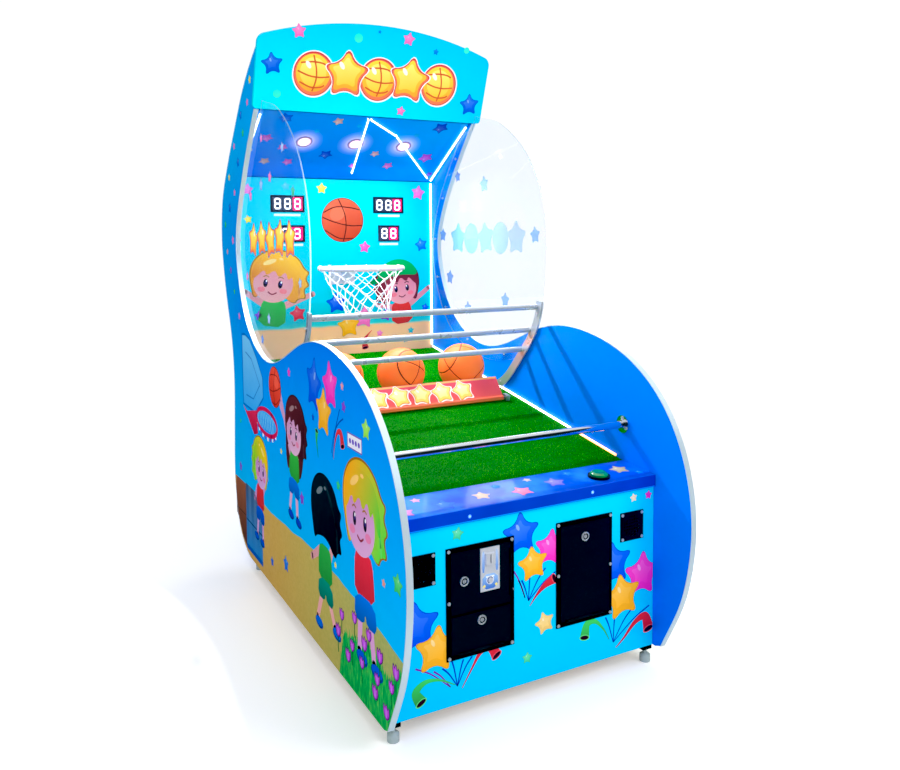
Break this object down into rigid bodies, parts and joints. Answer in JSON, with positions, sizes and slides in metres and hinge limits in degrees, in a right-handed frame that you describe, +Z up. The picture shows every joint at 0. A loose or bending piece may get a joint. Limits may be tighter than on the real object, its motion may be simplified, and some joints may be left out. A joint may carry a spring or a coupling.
{
  "type": "basketball hoop machine",
  "caption": "Junior arcade basketball hoop machine with curved side panels, sloped turf deck, ball gate, hoop with net, lit marquee, guard rails, coin door and start button.",
  "frame": {"origin": "on the floor, under the middle of the bounding box", "axes": "+X to the machine's right seen from the front, +Y to the rear, +Z up"},
  "size_m": [0.996, 1.9336, 2.2245],
  "materials": {
    "azure_print": "printed gloss vinyl over plywood",
    "cyan_print": "printed gloss vinyl over board",
    "deep_blue": "blue gloss laminate",
    "raw_board": "bare plywood",
    "trim_silver": "satin silver T-moulding",
    "clear_acrylic": "clear cast acrylic",
    "turf": "short artificial turf",
    "orange_ring": "white powder coat",
    "net_white": "knotted white cord",
    "satin_steel": "brushed",
    "chrome": "polished",
    "acceptor_silver": "satin cast faceplate",
    "black_steel": "black powder coat",
    "black_plastic": "moulded black",
    "green_cap": "translucent green",
    "coral_board": "printed coral sheet",
    "light_white": "lit white",
    "electrics": "zinc case and green board",
    "ball_orange": "pebbled orange rubber",
    "wheel_grey": "grey tread"
  },
  "bodies": {
    "cabinet": {"back_cover": "deep_blue", "backboard": "cyan_print", "bar_flanges": "chrome", "button_bezel": "black_plastic", "cash_box": "black_steel", "ceiling_lights": "light_white", "ceiling_panel": "deep_blue", "coin_door_frame": "black_steel", "control_board": "electrics", "edge_trim_left": "trim_silver", "edge_trim_right": "trim_silver", "floor_panel": "raw_board", "foot_blocks": "satin_steel", "front_panel": "cyan_print", "front_shelf": "deep_blue", "gate_bearings": "black_plastic", "gate_motor": "black_plastic", "guard_rails": "satin_steel", "guard_uprights": "satin_steel", "hand_bar": "chrome", "hoop_bracket": "orange_ring", "hoop_net": "net_white", "hoop_ring": "orange_ring", "led_strips": "light_white", "leveling_feet": "chrome", "marquee_panel": "cyan_print", "panel_screws": "chrome", "play_deck": "raw_board", "power_supply": "electrics", "rear_panel": "deep_blue", "score_displays": "black_plastic", "service_door_frame": "black_steel", "side_panel_left": "azure_print", "side_panel_right": "azure_print", "side_window_left": "clear_acrylic", "side_window_right": "clear_acrylic", "speaker_grilles": "black_steel", "turf_mat": "turf"},
    "start_button": {"start_button_cap": "green_cap"},
    "coin_door": {"coin_door": "black_steel", "coin_acceptor": "acceptor_silver"},
    "coin_return": {"coin_return_button": "chrome"},
    "coin_lock": {"coin_lock_cam": "chrome"},
    "cash_door": {"cash_door": "black_steel"},
    "cash_lock": {"cash_lock_cam": "chrome"},
    "service_door": {"service_door": "black_steel"},
    "service_lock": {"service_lock_cam": "chrome"},
    "rear_door": {"rear_door": "deep_blue"},
    "gate": {"gate_flap": "coral_board", "gate_shaft": "chrome"},
    "crank": {"gate_crank": "satin_steel"},
    "rod": {"gate_rod": "satin_steel"},
    "ball_left": {"ball_left": "ball_orange"},
    "ball_centre": {"ball_centre": "ball_orange"},
    "ball_right": {"ball_right": "ball_orange"},
    "fork_left": {"caster_fork_left": "chrome"},
    "fork_right": {"caster_fork_right": "chrome"},
    "wheel_left": {"caster_wheel_left": "wheel_grey"},
    "wheel_right": {"caster_wheel_right": "wheel_grey"},
    "rear_wheels": {"rear_wheels": "satin_steel"}
  },
  "joints": [
    {"name": "start_button_press", "type": "slide", "parent": "cabinet", "child": "start_button", "axis": [0, 0.0708, -0.9975], "range_m": [0, 0.003]},
    {"name": "coin_door_hinge", "type": "hinge", "parent": "cabinet", "child": "coin_door", "pos_m": [-0.0788, -0.80244, 0.41], "axis": [0, 0, 1], "range_deg": [0, 110]},
    {"name": "coin_return_press", "type": "slide", "parent": "coin_door", "child": "coin_return", "axis": [0, 1, 0], "range_m": [0, 0.003]},
    {"name": "coin_lock_turn", "type": "hinge", "parent": "coin_door", "child": "coin_lock", "pos_m": [-0.234, -0.79624, 0.413], "axis": [0, 1, 0], "range_deg": [0, 90]},
    {"name": "cash_door_hinge", "type": "hinge", "parent": "cabinet", "child": "cash_door", "pos_m": [-0.178, -0.80244, 0.2038], "axis": [1, 0, 0], "range_deg": [0, 90]},
    {"name": "cash_lock_turn", "type": "hinge", "parent": "cash_door", "child": "cash_lock", "pos_m": [-0.177, -0.79624, 0.289], "axis": [0, -1, 0], "range_deg": [0, 90]},
    {"name": "service_door_hinge", "type": "hinge", "parent": "cabinet", "child": "service_door", "pos_m": [0.192, -0.80244, 0.2138], "axis": [1, 0, 0], "range_deg": [0, 90]},
    {"name": "service_lock_turn", "type": "hinge", "parent": "service_door", "child": "service_lock", "pos_m": [0.191, -0.79624, 0.467], "axis": [0, -1, 0], "range_deg": [0, 90]},
    {"name": "rear_door_hinge", "type": "hinge", "parent": "cabinet", "child": "rear_door", "pos_m": [0.2465, 0.80306, 0.455], "axis": [0, 0, -1], "range_deg": [0, 110]},
    {"name": "gate_drop", "type": "hinge", "parent": "cabinet", "child": "gate", "pos_m": [0, -0.01212, 0.74816], "axis": [-1, 0, 0], "range_deg": [0, 42]},
    {"name": "crank_turn", "type": "hinge", "parent": "cabinet", "child": "crank", "pos_m": [-0.431, -0.01212, 0.58816], "axis": [-1, 0, 0], "range_deg": [0, 42]},
    {"name": "rod_swing", "type": "hinge", "parent": "crank", "child": "rod", "pos_m": [-0.4245, 0.03119, 0.61316], "axis": [-1, 0, 0], "range_deg": [-42, 0]},
    {"name": "fork_left_swivel", "type": "hinge", "parent": "cabinet", "child": "fork_left", "pos_m": [-0.345, -0.72624, 0.05], "axis": [0, 0, 1], "continuous": true},
    {"name": "fork_right_swivel", "type": "hinge", "parent": "cabinet", "child": "fork_right", "pos_m": [0.345, -0.72624, 0.05], "axis": [0, 0, 1], "continuous": true},
    {"name": "wheel_left_roll", "type": "hinge", "parent": "fork_left", "child": "wheel_left", "pos_m": [-0.345, -0.71224, 0.024], "axis": [1, 0, 0], "continuous": true},
    {"name": "wheel_right_roll", "type": "hinge", "parent": "fork_right", "child": "wheel_right", "pos_m": [0.345, -0.71224, 0.024], "axis": [1, 0, 0], "continuous": true},
    {"name": "rear_wheels_roll", "type": "hinge", "parent": "cabinet", "child": "rear_wheels", "pos_m": [0, 0.53376, 0.024], "axis": [1, 0, 0], "continuous": true},
    {"name": "ball_left_lift", "type": "slide", "parent": "cabinet", "child": "ball_left", "axis": [0, 0, 1], "range_m": [0, 0.06]},
    {"name": "ball_centre_lift", "type": "slide", "parent": "cabinet", "child": "ball_centre", "axis": [0, 0, 1], "range_m": [0, 0.06]},
    {"name": "ball_right_lift", "type": "slide", "parent": "cabinet", "child": "ball_right", "axis": [0, 0, 1], "range_m": [0, 0.06]}
  ],
  "couplings": [
    {"joint": "crank_turn", "follows": "gate_drop", "ratio": 1},
    {"joint": "rod_swing", "follows": "gate_drop", "ratio": -1}
  ]
}
